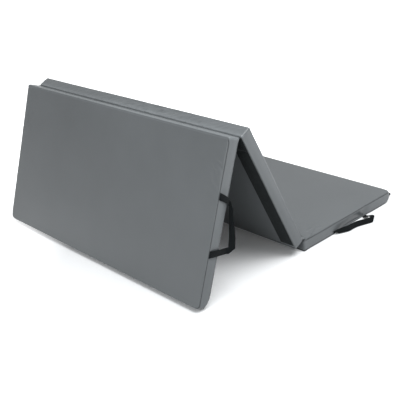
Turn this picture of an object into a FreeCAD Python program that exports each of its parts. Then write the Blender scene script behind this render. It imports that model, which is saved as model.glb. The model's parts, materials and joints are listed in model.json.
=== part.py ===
"""Folding gym mat: three foam panels in sewn vinyl covers, joined by two vinyl hinge strips.

The panels lie in a row when the mat is open. Panel 3 lies flat on the floor, panels 2 and 1 stand
up from it as a tent: the valley hinge joins the top faces of panels 2 and 3, the ridge hinge joins
the undersides of panels 1 and 2, so the mat folds like a Z.

Frame: +X runs from panel 1 to panel 3, Y along the folds, +Z up. The origin is the middle of the
box of the whole mat, at floor level.
"""
import FreeCAD, Part
import math
import os
import Sketcher
from FreeCAD import Placement, Rotation, Vector

# ---------------------------------------------------------------- driving sizes, mm and degrees
SIZES = {
    # panels
    "mat_width": 1219,             # along the folds
    "panel_length": 605,           # from fold to fold
    "panel_thickness": 50,
    "corner_radius": 19,           # of the four corners, seen from above
    "edge_radius": 6,              # of the soft edges round each face
    "vinyl_thickness": 1,
    "foam_clearance": 0.3,         # between the foam and the cover
    "seam_to_side": 2,             # from the seam of skin and side band to the flat of the side
    # folds
    "valley_rise": 63,             # how far panel 2 stands up from flat, degrees
    "fold_end_gap": 3,             # from a hinge line to the end of each panel
    "fold_face_gap": 3,            # from a hinge line to the plane of the joined faces
    "hinge_thickness": 1.5,
    "hinge_bead_radius": 1.5,
    "hinge_clearance": 0.3,        # between the two halves of a hinge strip
    # carrying handles
    "webbing_width": 25,
    "webbing_thickness": 2.5,
    "handle_spread": 200,          # between the middles of a handle's two legs
    "handle_corner_cut": 12,       # of the folded corners of the webbing
    "upper_handle_reach": 100,     # panel 1's handles
    "upper_handle_lean": 8,        # off the side face, degrees
    "lower_handle_reach": 70,      # panel 3's handles, lying on the floor
    "sewn_clearance": 0.3,         # between a swinging piece and the side that it is sewn to
    # hook-and-loop
    "side_strip_width": 65,
    "side_strip_ridge_gap": 76,    # from a side strip to the ridge end of its panel
    "side_strip_inset": 8,         # from the side face
    "loop_strip_width": 50,
    "loop_strip_gap": 12,          # to the side strips
    "flap_reach": 48,
    "flap_thickness": 2,
    "flap_corner_cut": 8,
    "flap_end_inset": 25,          # from each side of the mat
}

Z_AXIS = Vector(0, 0, 1)
Y_AXIS = Vector(0, 1, 0)
X_AXIS = Vector(1, 0, 0)
NEAR_AND_FAR = (("near", -1), ("far", 1))

doc = FreeCAD.newDocument("FoldingMat")
sheet = doc.addObject("Spreadsheet::Sheet", "Sizes")
for row, (alias, value) in enumerate(SIZES.items(), start=1):
    sheet.set(f"A{row}", alias)
    sheet.set(f"B{row}", str(value))
    sheet.setAlias(f"B{row}", alias)
doc.recompute()

sub_parts = []          # (node, object), in the order they are made


def size(alias):
    """A driving size, read back from the sheet."""
    return float(getattr(sheet, alias))


# Sizes that follow from the driving ones, as formulas of them.
ALL_LENGTH = "Sizes.panel_length"
ALL_WIDTH = "Sizes.mat_width"
SEAM_INSET = "(Sizes.edge_radius - Sizes.seam_to_side)"
SIDE_STRIP_LENGTH = f"({ALL_LENGTH} - Sizes.corner_radius - Sizes.side_strip_ridge_gap)"
HINGE_WIDTH = f"({ALL_WIDTH} - 2 * Sizes.corner_radius)"


def bind(thing, **expressions):
    """Bind properties to formulas of sheet sizes; a double underscore stands for a dot."""
    for path, expression in expressions.items():
        thing.setExpression(path.replace("__", "."), expression)


def keep(node, thing, placement):
    """Name a finished object as the sub-part node and put it in its place."""
    thing.Label = node
    thing.Placement = placement
    sub_parts.append((node, thing))


# ---------------------------------------------------------------- sketches and simple forms
def new_sketch(body, name, plane):
    """A sketch on one of the body's own origin planes."""
    sketch = body.newObject("Sketcher::SketchObject", name)
    support = [item for item in body.Origin.OriginFeatures if item.Role == plane][0]
    sketch.AttachmentSupport = [(support, "")]
    sketch.MapMode = "FlatFace"
    return sketch


def closed_outline(sketch, points):
    """Straight lines through the points and back to the first, joined end to end."""
    count = len(points)
    for index, point in enumerate(points):
        following = points[(index + 1) % count]
        sketch.addGeometry(Part.LineSegment(Vector(*point, 0), Vector(*following, 0)), False)
    for index in range(count):
        sketch.addConstraint(Sketcher.Constraint("Coincident", index, 2, (index + 1) % count, 1))


def centred_rectangle(sketch, length, width):
    """A rectangle about the sketch's origin; length and width are formulas of sheet sizes."""
    corners = [(-10, -10), (10, -10), (10, 10), (-10, 10)]
    closed_outline(sketch, corners)
    for side in (0, 2):
        sketch.addConstraint(Sketcher.Constraint("Horizontal", side))
    for side in (1, 3):
        sketch.addConstraint(Sketcher.Constraint("Vertical", side))
    sketch.addConstraint(Sketcher.Constraint("Symmetric", 0, 1, 2, 1, -1, 1))
    along = sketch.addConstraint(Sketcher.Constraint("DistanceX", 0, 1, 0, 2, 20))
    across = sketch.addConstraint(Sketcher.Constraint("DistanceY", 1, 1, 1, 2, 20))
    sketch.setExpression(f"Constraints[{along}]", length)
    sketch.setExpression(f"Constraints[{across}]", width)


def fillet(body, name, base, wanted, radius):
    """Round the edges of base for which wanted(edge) is true; radius is a formula."""
    doc.recompute()
    edges = [f"Edge{i}" for i, edge in enumerate(base.Shape.Edges, start=1) if wanted(edge)]
    rounded = body.newObject("PartDesign::Fillet", name)
    rounded.Base = (base, edges)
    rounded.setExpression("Radius", radius)
    return rounded


def stands_upright(edge):
    return edge.BoundBox.XLength < 1e-4 and edge.BoundBox.YLength < 1e-4


def lies_level(edge):
    return edge.BoundBox.ZLength < 1e-4


def rounded_block(name, inset):
    """A whole panel's shape, pulled in by inset (a formula) on every side.

    A panel's own frame has its origin under its middle: X to its right end, Z up to its top face.
    """
    body = doc.addObject("PartDesign::Body", name)
    outline = new_sketch(body, name + "_outline", "XY_Plane")
    bind(outline, AttachmentOffset__Base__z=inset)
    centred_rectangle(
        outline, f"Sizes.panel_length - 2 * ({inset})", f"Sizes.mat_width - 2 * ({inset})"
    )
    pad = body.newObject("PartDesign::Pad", name + "_pad")
    pad.Profile = outline
    bind(pad, Length=f"Sizes.panel_thickness - 2 * ({inset})")
    corners = fillet(
        body, name + "_corners", pad, stands_upright, f"Sizes.corner_radius - ({inset})"
    )
    fillet(body, name + "_edges", corners, lies_level, f"Sizes.edge_radius - ({inset})")
    doc.recompute()
    return body


def block(name, length, width, height, x, y, z):
    """A plain box in a panel's own frame; every size and place is a formula."""
    box = doc.addObject("Part::Box", name)
    bind(box, Length=length, Width=width, Height=height)
    bind(box, Placement__Base__x=x, Placement__Base__y=y, Placement__Base__z=z)
    return box


def boolean(kind, name, base, tool):
    result = doc.addObject(kind, name)
    result.Base = base
    result.Tool = tool
    return result


# ---------------------------------------------------------------- where each panel stands
LENGTH = size("panel_length")
THICKNESS = size("panel_thickness")
HALF_WIDTH = size("mat_width") / 2
END_GAP = size("fold_end_gap")
FACE_GAP = size("fold_face_gap")
HINGE_X = LENGTH / 2 + END_GAP              # a hinge line, from the middle of its panel
TOP_HINGE_Z = THICKNESS + FACE_GAP          # the valley hinge line, over an underside
UNDER_HINGE_Z = -FACE_GAP                   # the ridge hinge line, under an underside


def ridge_drop(ridge_height):
    """How far panel 1 leans down from level for its rounded lower edge to touch the floor."""
    edge = size("edge_radius")
    along = END_GAP + LENGTH - edge         # ridge line to the centre of that rounded edge
    across = FACE_GAP + edge
    reach = math.hypot(along, across)
    return math.degrees(math.asin((ridge_height - edge) / reach) + math.atan2(across, along))


def swung(hinge_in_place, tilt, hinge_in_panel):
    """The placement of a panel that is turned by tilt about +Y at its hinge line."""
    turned = Placement(hinge_in_place, Rotation(Y_AXIS, tilt))
    return turned.multiply(Placement(-hinge_in_panel, Rotation()))


valley = Vector(0, 0, TOP_HINGE_Z)
panel_3 = swung(valley, 0, Vector(-HINGE_X, 0, TOP_HINGE_Z))
panel_2 = swung(valley, size("valley_rise"), Vector(HINGE_X, 0, TOP_HINGE_Z))
ridge = panel_2.multVec(Vector(-HINGE_X, 0, UNDER_HINGE_Z))
panel_1_drop = ridge_drop(ridge.z)
panel_1 = swung(ridge, -panel_1_drop, Vector(HINGE_X, 0, UNDER_HINGE_Z))
PANELS = {1: panel_1, 2: panel_2, 3: panel_3}

# ---------------------------------------------------------------- foam and covers
outer_form = rounded_block("outer_form", "0")
inner_form = rounded_block("inner_form", "Sizes.vinyl_thickness")
cover_form = boolean("Part::Cut", "cover_form", outer_form, inner_form)

def cover_slice(name, height, z):
    """A slab as large as a panel that picks one piece out of the cover."""
    return block(name, ALL_LENGTH, ALL_WIDTH, height, f"-{ALL_LENGTH} / 2", f"-{ALL_WIDTH} / 2", z)


top_slice = cover_slice("top_slice", SEAM_INSET, f"Sizes.panel_thickness - {SEAM_INSET}")
bottom_slice = cover_slice("bottom_slice", SEAM_INSET, "0")
band_slice = cover_slice("band_slice", f"Sizes.panel_thickness - 2 * {SEAM_INSET}", SEAM_INSET)


def side_strip_spot(panel, side):
    """Corner of a side strip. It starts at a panel's end, and leaves the ridge end clear."""
    if panel == 2:
        x = f"-{ALL_LENGTH} / 2 + Sizes.side_strip_ridge_gap"
    else:
        x = f"-{ALL_LENGTH} / 2 + Sizes.corner_radius"
    if side < 0:
        y = f"-{ALL_WIDTH} / 2 + Sizes.side_strip_inset"
    else:
        y = f"{ALL_WIDTH} / 2 - Sizes.side_strip_inset - Sizes.side_strip_width"
    return x, y


def strip(node, panel, length, width, x, y):
    """A hook-and-loop strip let into the underside skin: (the slot's form, the strip)."""
    slot = block(node + "_slot", length, width, "Sizes.vinyl_thickness", x, y, "0")
    tape = doc.addObject("Part::Box", node)
    bind(tape, Length=length, Width=width, Height="Sizes.vinyl_thickness")
    doc.recompute()
    keep(node, tape, PANELS[panel].multiply(slot.Placement))
    return slot


def underside_strips(panel):
    """The strips of one panel; the forms of their slots come back."""
    slots = []
    for name, side in NEAR_AND_FAR:
        x, y = side_strip_spot(panel, side)
        slots.append(
            strip(f"panel_{panel}_side_strip_{name}", panel,
                  SIDE_STRIP_LENGTH, "Sizes.side_strip_width", x, y)
        )
    if panel == 1:
        margin = "(Sizes.side_strip_inset + Sizes.side_strip_width + Sizes.loop_strip_gap)"
        slots.append(
            strip("end_loop_strip", panel,
                  "Sizes.loop_strip_width", f"{ALL_WIDTH} - 2 * {margin}",
                  f"-{ALL_LENGTH} / 2 + Sizes.side_strip_inset", f"-{ALL_WIDTH} / 2 + {margin}")
        )
    return slots


for number, place in PANELS.items():
    prefix = f"panel_{number}_"
    core = rounded_block(prefix + "foam_core", "Sizes.vinyl_thickness + Sizes.foam_clearance")
    keep(prefix + "foam_core", core, place)
    top = boolean("Part::Common", prefix + "top_skin", cover_form, top_slice)
    keep(prefix + "top_skin", top, place)
    band = boolean("Part::Common", prefix + "side_band", cover_form, band_slice)
    keep(prefix + "side_band", band, place)
    skin = boolean("Part::Common", prefix + "whole_bottom", cover_form, bottom_slice)
    slots = underside_strips(number)
    for index, slot in enumerate(slots):
        skin = boolean("Part::Cut", f"{prefix}slotted_bottom_{index}", skin, slot)
    keep(prefix + "bottom_skin", skin, place)

# ---------------------------------------------------------------- hinge strips
def hinge_leaf(node, panel, end, hinge_z, carries_bead):
    """Half of a hinge strip, from its panel's rounded edge to the hinge line.

    end is 1 at the panel's right end and -1 at its left; the half that carries the bead turns in
    the hollow end of the other half.
    """
    over = 1 if hinge_z > 0 else -1
    web = doc.addObject("Part::Box", node + "_web")
    bind(web, Length="2 * (Sizes.fold_end_gap + Sizes.edge_radius)",
         Width=HINGE_WIDTH, Height="Sizes.hinge_thickness")
    doc.recompute()
    towards_panel = Rotation(Vector(END_GAP, 0, 0), Vector(-end * END_GAP, 0, -over * FACE_GAP))
    line = Vector(end * HINGE_X, 0, hinge_z)
    corner = Vector(0, -web.Width.Value / 2, -web.Height.Value / 2)
    web.Placement = Placement(line, towards_panel).multiply(Placement(corner, Rotation()))

    bead = doc.addObject("Part::Cylinder", node + "_bead")
    radius = "Sizes.hinge_bead_radius"
    if not carries_bead:
        radius += " + Sizes.hinge_clearance"
    bind(bead, Height=HINGE_WIDTH, Radius=radius)
    doc.recompute()
    bead.Placement = Placement(line + Vector(0, bead.Height.Value / 2, 0), Rotation(X_AXIS, 90))
    joined = boolean("Part::Fuse" if carries_bead else "Part::Cut", node + "_strip", web, bead)
    leaf = boolean("Part::Cut", node + "_seated", joined, outer_form)
    keep(node, leaf, PANELS[panel])


hinge_leaf("valley_hinge_leaf_3", 3, -1, TOP_HINGE_Z, carries_bead=True)
hinge_leaf("valley_hinge_leaf_2", 2, 1, TOP_HINGE_Z, carries_bead=False)
hinge_leaf("ridge_hinge_leaf_2", 2, -1, UNDER_HINGE_Z, carries_bead=True)
hinge_leaf("ridge_hinge_leaf_1", 1, 1, UNDER_HINGE_Z, carries_bead=False)


# ---------------------------------------------------------------- handles and end flap
ROUND_ROOT = 0.49       # of the thickness: a root is all but half round


def flat_piece(name, points, thickness):
    """A flat outline in X and Y, half its thickness (a size's alias) on each side of Z = 0.

    It swings about its own X axis, so its root is rounded about that axis.
    """
    body = doc.addObject("PartDesign::Body", name)
    outline = new_sketch(body, name + "_outline", "XY_Plane")
    closed_outline(outline, [(x[0], y[0]) for x, y in points])
    for index, (x, y) in enumerate(points):
        for kind, (value, formula) in (("DistanceX", x), ("DistanceY", y)):
            ends = (-1, 1, index, 1) if value > 0 else (index, 1, -1, 1)
            tie = outline.addConstraint(Sketcher.Constraint(kind, *ends, abs(value)))
            outline.setExpression(f"Constraints[{tie}]", formula)
    pad = body.newObject("PartDesign::Pad", name + "_pad")
    pad.Profile = outline
    pad.Midplane = True
    bind(pad, Length=f"Sizes.{thickness}")
    root_y = -size(thickness) / 2

    def is_root(edge):
        return abs(edge.BoundBox.YMax - root_y) < 1e-4 and lies_level(edge)

    fillet(body, name + "_root", pad, is_root, f"{ROUND_ROOT} * Sizes.{thickness}")
    doc.recompute()
    return body


def handle_points(reach):
    """The outline of a U of webbing with folded corners: two legs and a grip.

    Each coordinate is (its value, the formula of its distance from the origin).
    """
    half = (size("handle_spread") + size("webbing_width")) / 2
    half_formula = "(Sizes.handle_spread + Sizes.webbing_width) / 2"
    inner = (size("handle_spread") - size("webbing_width")) / 2
    inner_formula = "(Sizes.handle_spread - Sizes.webbing_width) / 2"
    far = size(reach)
    far_formula = f"Sizes.{reach}"
    cut = size("handle_corner_cut")
    cut_formula = "Sizes.handle_corner_cut"
    grip = far - size("webbing_width")
    grip_formula = f"{far_formula} - Sizes.webbing_width"
    root = (-size("webbing_thickness") / 2, "Sizes.webbing_thickness / 2")

    def right_and_left(value, formula):
        return (value, formula), (-value, formula)

    right_outer, left_outer = right_and_left(half, half_formula)
    right_inner, left_inner = right_and_left(inner, inner_formula)
    right_cut, left_cut = right_and_left(half - cut, f"{half_formula} - {cut_formula}")
    shoulder = (far - cut, f"{far_formula} - {cut_formula}")
    top = (far, far_formula)
    under_grip = (grip, grip_formula)
    return [
        (right_outer, root), (right_outer, shoulder), (right_cut, top),
        (left_cut, top), (left_outer, shoulder), (left_outer, root),
        (left_inner, root), (left_inner, under_grip), (right_inner, under_grip),
        (right_inner, root),
    ]


def droop(height, reach, thickness):
    """The angle below level at which a flat piece hinged at height rests its edge on the floor."""
    longest = math.hypot(reach, thickness / 2)
    return math.degrees(math.asin(height / longest) - math.atan2(thickness / 2, reach))


def swing_line(panel, side, height, thickness):
    """The middle of the line that a piece sewn to a side face swings about, in place."""
    stand_off = HALF_WIDTH + size(thickness) / 2 + size("sewn_clearance")
    return PANELS[panel].multVec(Vector(0, side * stand_off, height))


swing_lines = {}


def handle(node, panel, side, height, reach, turn):
    """A handle whose legs are sewn into a side seam; turn is about the panel's own X."""
    webbing = flat_piece(node, handle_points(reach), "webbing_thickness")
    line = swing_line(panel, side, height, "webbing_thickness")
    keep(node, webbing, Placement(line, PANELS[panel].Rotation.multiply(Rotation(X_AXIS, turn))))
    swing_lines[node] = webbing


SEAM = size("edge_radius") - size("seam_to_side")
lower_droop = droop(SEAM, size("lower_handle_reach"), size("webbing_thickness"))
for name, side in NEAR_AND_FAR:
    hanging = -90 + side * size("upper_handle_lean")
    handle(f"handle_1_{name}", 1, side, THICKNESS - SEAM, "upper_handle_reach", hanging)
    lying = -lower_droop if side > 0 else lower_droop - 180
    handle(f"handle_3_{name}", 3, side, SEAM, "lower_handle_reach", lying)


def flap_points():
    """The outline of the end flap: a long strip with cut outer corners, as handle_points."""
    half = size("mat_width") / 2 - size("flap_end_inset")
    half_formula = "Sizes.mat_width / 2 - Sizes.flap_end_inset"
    cut = size("flap_corner_cut")
    far = size("flap_reach")
    shoulder = (far - cut, "Sizes.flap_reach - Sizes.flap_corner_cut")
    tip = (far, "Sizes.flap_reach")
    cut_formula = f"{half_formula} - Sizes.flap_corner_cut"
    root = (-size("flap_thickness") / 2, "Sizes.flap_thickness / 2")
    return [
        ((half, half_formula), root), ((half, half_formula), shoulder),
        ((half - cut, cut_formula), tip), ((cut - half, cut_formula), tip),
        ((-half, half_formula), shoulder), ((-half, half_formula), root),
    ]


flap = flat_piece("end_flap", flap_points(), "flap_thickness")
flap_droop = droop(SEAM, size("flap_reach"), size("flap_thickness"))
flap_line = PANELS[3].multVec(
    Vector(LENGTH / 2 + size("flap_thickness") / 2 + size("sewn_clearance"), 0, SEAM)
)
flap_turn = Rotation(Y_AXIS, flap_droop).multiply(Rotation(Z_AXIS, -90))
keep("end_flap", flap, Placement(flap_line, flap_turn))
swing_lines["end_flap"] = flap

# ---------------------------------------------------------------- origin, checks and files
doc.recompute()
whole = Part.makeCompound([thing.Shape for _, thing in sub_parts])
box = whole.optimalBoundingBox(False, False)
to_origin = Placement(
    Vector(-(box.XMin + box.XMax) / 2, -(box.YMin + box.YMax) / 2, -box.ZMin), Rotation()
)
for _, thing in sub_parts:
    thing.Placement = to_origin.multiply(thing.Placement)
doc.recompute()

for item in doc.Objects:
    if {"Invalid", "Error"} & set(item.State):
        raise RuntimeError(f"{item.Label} did not build: {item.State}")
for node, thing in sub_parts:
    if thing.Shape.isNull() or not thing.Shape.isValid():
        raise RuntimeError(f"{node} has no valid shape")

os.makedirs("parts", exist_ok=True)
for node, thing in sub_parts:
    thing.Shape.exportStep(f"parts/{node}.step")

print(f"{len(sub_parts)} sub-parts")
print(f"panel 1 leans {panel_1_drop:.3f} deg, the tent's apex is "
      f"{180 - size('valley_rise') - panel_1_drop:.3f} deg")
print(f"box {box.XLength:.2f} x {box.YLength:.2f} x {box.ZLength:.2f} mm")
for name, point in (("valley", valley), ("ridge", ridge)):
    line = to_origin.multVec(point)
    print(f"line {name} {line.x:.4f} {line.y:.4f} {line.z:.4f}")
for name, thing in swing_lines.items():
    base = thing.Placement.Base
    along = thing.Placement.Rotation.multVec(X_AXIS)
    reach = thing.Placement.Rotation.multVec(Y_AXIS)
    print(f"line {name} {base.x:.4f} {base.y:.4f} {base.z:.4f}"
          f" along {along.x:.5f} {along.y:.5f} {along.z:.5f}"
          f" reach {reach.x:.5f} {reach.y:.5f} {reach.z:.5f}")
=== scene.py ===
# %% [markdown]
# # A folding gym mat
#
# The mat is three flat pads of firm foam. Each pad wears a tight cover of coated cloth, two strips
# join the covers end to end, and black webbing makes the carrying handles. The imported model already
# holds every size and every hinge line, so this lesson reads them from it and builds only the looks.
#
# Everything is in metres. A piece's place is in its mesh, and its object stays at the origin.

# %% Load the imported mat
import json
import math

import bmesh
import bpy
from mathutils import Matrix, Vector, noise


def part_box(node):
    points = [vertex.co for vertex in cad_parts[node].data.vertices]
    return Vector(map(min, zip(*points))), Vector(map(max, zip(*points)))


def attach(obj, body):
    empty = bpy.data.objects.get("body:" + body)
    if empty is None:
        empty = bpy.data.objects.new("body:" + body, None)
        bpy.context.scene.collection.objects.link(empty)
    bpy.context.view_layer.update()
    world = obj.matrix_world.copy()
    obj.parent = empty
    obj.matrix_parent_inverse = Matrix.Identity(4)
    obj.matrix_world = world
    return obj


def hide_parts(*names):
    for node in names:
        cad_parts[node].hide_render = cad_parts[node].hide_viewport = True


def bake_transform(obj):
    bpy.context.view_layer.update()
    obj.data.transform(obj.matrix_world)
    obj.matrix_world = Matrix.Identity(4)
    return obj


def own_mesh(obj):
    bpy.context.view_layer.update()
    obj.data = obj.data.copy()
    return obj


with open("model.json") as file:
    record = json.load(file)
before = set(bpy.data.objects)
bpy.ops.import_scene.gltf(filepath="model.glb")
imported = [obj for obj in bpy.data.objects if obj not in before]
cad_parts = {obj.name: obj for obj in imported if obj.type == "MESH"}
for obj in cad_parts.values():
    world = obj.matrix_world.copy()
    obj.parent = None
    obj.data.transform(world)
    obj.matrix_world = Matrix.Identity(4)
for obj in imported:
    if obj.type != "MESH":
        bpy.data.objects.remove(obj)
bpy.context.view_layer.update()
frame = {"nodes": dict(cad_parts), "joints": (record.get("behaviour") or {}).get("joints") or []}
JOINTS = {joint["name"]: joint for joint in frame["joints"]}
print("pieces in the packed mat:", len(frame["nodes"]))

# %% [markdown]
# ## The driving sizes
#
# The sizes of a panel are read off panel 3, which lies flat: its side band gives the length and
# width, and its two skins give the thickness. The valley line lies a little beyond that panel's end
# and a little above its face, and those two gaps are the same at the ridge.

# %% Measure the flat panel
band_low, band_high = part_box("panel_3_side_band")
skin_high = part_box("panel_3_top_skin")[1]
LENGTH = band_high.x - band_low.x
WIDTH = band_high.y - band_low.y
THICKNESS = skin_high.z
HALF = Vector((LENGTH / 2, WIDTH / 2, THICKNESS / 2))
VALLEY = Vector(JOINTS["valley_fold"]["pos_m"])
RIDGE = Vector(JOINTS["ridge_fold"]["pos_m"])
END_GAP = band_low.x - VALLEY.x
FACE_GAP = VALLEY.z - THICKNESS
NEAR_AND_FAR = (("near", -1), ("far", 1))
print("panel", [round(1000 * value, 1) for value in (LENGTH, WIDTH, THICKNESS)])
print("gaps", round(1000 * END_GAP, 2), round(1000 * FACE_GAP, 2))

# %% [markdown]
# ## Where each panel stands
#
# A panel is easiest to shape while it lies flat, in its own frame: the origin under its middle, X to
# its right end, Z up through its top face. A matrix then stands it up about its hinge line. Opened
# to its lower limit the valley lies flat, so that limit gives panel 2's tilt. A handle on panel 1
# swings about a line along the panel, so that line's slope gives panel 1's tilt.

# %% Find the three places
HINGE_X = LENGTH / 2 + END_GAP


def panel_place(hinge, tilt, hinge_x, hinge_z):
    """The matrix from a panel's own frame to the mat's frame."""
    to_hinge = Matrix.Translation(-Vector((hinge_x, 0, hinge_z)))
    return Matrix.Translation(hinge) @ Matrix.Rotation(tilt, 4, "Y") @ to_hinge


valley_tilt = -math.radians(JOINTS["valley_fold"]["range_deg"][0])
slope = Vector(JOINTS["handle_1_far_swing"]["axis"])
PLACES = {
    1: panel_place(RIDGE, -math.atan2(slope.z, slope.x), HINGE_X, -FACE_GAP),
    2: panel_place(VALLEY, valley_tilt, HINGE_X, THICKNESS + FACE_GAP),
    3: panel_place(VALLEY, 0, -HINGE_X, THICKNESS + FACE_GAP),
}
for number, place in PLACES.items():
    cad_middle = sum(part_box(f"panel_{number}_foam_core"), Vector()) / 2
    miss = place @ Vector((0, 0, HALF.z)) - cad_middle
    print("panel", number, "is", round(1000 * miss.length, 2), "mm from the packed one")

# %% [markdown]
# ## The camera
#
# The camera stands low at the near left of the tent, a little rolled, with a slightly long lens. Its
# rotation is built as a tripod head is set: turn to the azimuth, tilt down, then roll.

# %% Set up the camera
CAMERA_FROM_VALLEY = Vector((-2.0146, -2.2276, 1.3907))
AZIMUTH, ELEVATION, ROLL = (math.radians(angle) for angle in (-42.54, 23.95, -4.30))
LENS_MM = 66.7
SENSOR_MM = 36

camera = bpy.data.objects.new("camera", bpy.data.cameras.new("camera"))
camera.data.lens = LENS_MM
camera.data.sensor_width = SENSOR_MM
camera.data.clip_end = 100
turn = Matrix.Rotation(AZIMUTH, 4, "Z") @ Matrix.Rotation(math.pi / 2 - ELEVATION, 4, "X")
stand = Matrix.Translation(CAMERA_FROM_VALLEY + Vector((VALLEY.x, 0, 0)))
camera.matrix_world = stand @ turn @ Matrix.Rotation(ROLL, 4, "Z")
bpy.context.scene.collection.objects.link(camera)
bpy.context.scene.camera = camera
bpy.context.scene.view_settings.view_transform = "Standard"
print("camera at", [round(value, 3) for value in camera.matrix_world.translation])

# %% [markdown]
# ## Node helpers
#
# Shader nodes are easier to read when one line of code says what is joined to what. These helpers
# make a node, a sum or a group of nodes, and fill its inputs by name.

# %% Small helpers for nodes
FLOAT, VECTOR = "NodeSocketFloat", "NodeSocketVector"


def feed(tree, source, socket):
    """Put a plain value, or the output of another node, into a socket."""
    if isinstance(source, bpy.types.NodeSocket):
        tree.links.new(source, socket)
    else:
        socket.default_value = source


def add_node(tree, kind, settings=None, **inputs):
    """A new node. Settings are its own options; inputs are named by socket, with _ for a space."""
    node = tree.nodes.new(kind)
    for option, value in (settings or {}).items():
        setattr(node, option, value)
    for name, source in inputs.items():
        feed(tree, source, node.inputs[name.replace("_", " ")])
    return node


def calc(tree, operation, *terms):
    """One sum of a Math node."""
    node = tree.nodes.new("ShaderNodeMath")
    node.operation = operation
    for socket, term in zip(node.inputs, terms):
        feed(tree, term, socket)
    return node.outputs[0]


def times(tree, value, *factors):
    """The product of two or more values."""
    for factor in factors:
        value = calc(tree, "MULTIPLY", value, factor)
    return value


def remap(tree, value, low, high, to_low, to_high):
    """Stretch low..high to to_low..to_high, and hold it inside them."""
    node = add_node(tree, "ShaderNodeMapRange", Value=value, From_Min=low, From_Max=high,
                    To_Min=to_low, To_Max=to_high)
    return node.outputs["Result"]


def scale_colour(tree, colour, factor):
    """A colour made lighter or darker by a factor that changes over the surface."""
    node = add_node(tree, "ShaderNodeMix", {"data_type": "RGBA", "blend_type": "MULTIPLY"})
    node.inputs["Factor"].default_value = 1
    feed(tree, colour, node.inputs[6])
    grey = add_node(tree, "ShaderNodeCombineColor", Red=factor, Green=factor, Blue=factor)
    feed(tree, grey.outputs[0], node.inputs[7])
    return node.outputs[2]


def new_group(name, inputs, outputs):
    """An empty node group: (its tree, its input sockets by name, its output node)."""
    tree = bpy.data.node_groups.new(name, "ShaderNodeTree")
    for socket_name, kind in inputs.items():
        tree.interface.new_socket(socket_name, in_out="INPUT", socket_type=kind)
    for socket_name, kind in outputs.items():
        tree.interface.new_socket(socket_name, in_out="OUTPUT", socket_type=kind)
    entry = tree.nodes.new("NodeGroupInput")
    return tree, entry.outputs, tree.nodes.new("NodeGroupOutput")


def use_group(tree, group, **inputs):
    """Place a group in a material and fill its inputs."""
    return add_node(tree, "ShaderNodeGroup", {"node_tree": group}, **inputs).outputs


# %% [markdown]
# ## Shared effects
#
# Soft tone is the slow, random change of tone across a large sheet of cloth. Fine grain is the pebbled
# skin of a coated cloth or the nap of a pile. Weave is the rib and column pattern of a tape; its tone
# paints highlights on the ribs and shade between them. Each of the three serves more than one finish,
# so it is a node group. Seam shade is painted shade, a dark line along each seam in uneven patches;
# it is a group only to keep it easy to read.

# %% Node group: soft tone
def soft_tone_group():
    tree, given, result = new_group("soft tone", {"Vector": VECTOR, "Patch Size": FLOAT,
                                                  "Strength": FLOAT}, {"Tone": FLOAT})
    scale = calc(tree, "DIVIDE", 1, given["Patch Size"])
    cloud = add_node(tree, "ShaderNodeTexNoise", Vector=given["Vector"], Scale=scale, Detail=3,
                     Roughness=0.55)
    spread = calc(tree, "SUBTRACT", cloud.outputs["Fac"], 0.5)
    swing = times(tree, spread, given["Strength"])
    feed(tree, calc(tree, "ADD", swing, 1), result.inputs["Tone"])
    return tree


SOFT_TONE = soft_tone_group()


# %% Node group: fine grain
def fine_grain_group():
    tree, given, result = new_group("fine grain", {"Vector": VECTOR, "Grain Size": FLOAT},
                                    {"Height": FLOAT, "Speckle": FLOAT})
    scale = calc(tree, "DIVIDE", 1, given["Grain Size"])
    pebbles = add_node(tree, "ShaderNodeTexVoronoi", {"feature": "SMOOTH_F1"},
                       Vector=given["Vector"], Scale=scale, Smoothness=0.6)
    dust = add_node(tree, "ShaderNodeTexNoise", Vector=given["Vector"],
                    Scale=times(tree, scale, 2.7), Detail=2)
    height = calc(tree, "ADD", times(tree, pebbles.outputs["Distance"], -0.7),
                  times(tree, dust.outputs["Fac"], 0.3))
    feed(tree, height, result.inputs["Height"])
    feed(tree, dust.outputs["Fac"], result.inputs["Speckle"])
    return tree


FINE_GRAIN = fine_grain_group()


# %% Node group: weave
def weave_group():
    tree, given, result = new_group("weave", {"Vector": VECTOR, "Rib": FLOAT, "Column": FLOAT},
                                    {"Height": FLOAT, "Tone": FLOAT})
    place = add_node(tree, "ShaderNodeSeparateXYZ", Vector=given["Vector"])
    across = calc(tree, "DIVIDE", place.outputs["X"], given["Column"])
    along = calc(tree, "DIVIDE", place.outputs["Y"], given["Rib"])
    stagger = times(tree, calc(tree, "FLOOR", across), 0.5)
    ribs = times(tree, calc(tree, "ADD", along, stagger), math.pi)
    rib = calc(tree, "ABSOLUTE", calc(tree, "SINE", ribs))
    column = calc(tree, "ABSOLUTE", calc(tree, "SINE", times(tree, across, math.pi)))
    height = times(tree, calc(tree, "POWER", rib, 0.6), calc(tree, "POWER", column, 0.4))
    feed(tree, height, result.inputs["Height"])
    # The tone follows the height: a painted highlight on each rib, painted shade in the hollows.
    feed(tree, remap(tree, height, 0, 1, 0.55, 1.2), result.inputs["Tone"])
    return tree


WEAVE = weave_group()


# %% Node group: seam soil
def seam_shade_group():
    tree, given, result = new_group("seam shade", {"Vector": VECTOR, "Seam": FLOAT, "Depth": FLOAT},
                                    {"Tone": FLOAT})
    # Painted shade: the seam mask darkens the cover along its seams, in uneven patches.
    uneven = add_node(tree, "ShaderNodeTexNoise", Vector=given["Vector"], Scale=60, Detail=2)
    patches = remap(tree, uneven.outputs["Fac"], 0.3, 0.7, 0.8, 1)
    dark = times(tree, given["Seam"], patches, given["Depth"])
    feed(tree, calc(tree, "SUBTRACT", 1, dark), result.inputs["Tone"])
    return tree


SEAM_SHADE = seam_shade_group()
print("node groups:", [group.name for group in bpy.data.node_groups])
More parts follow.
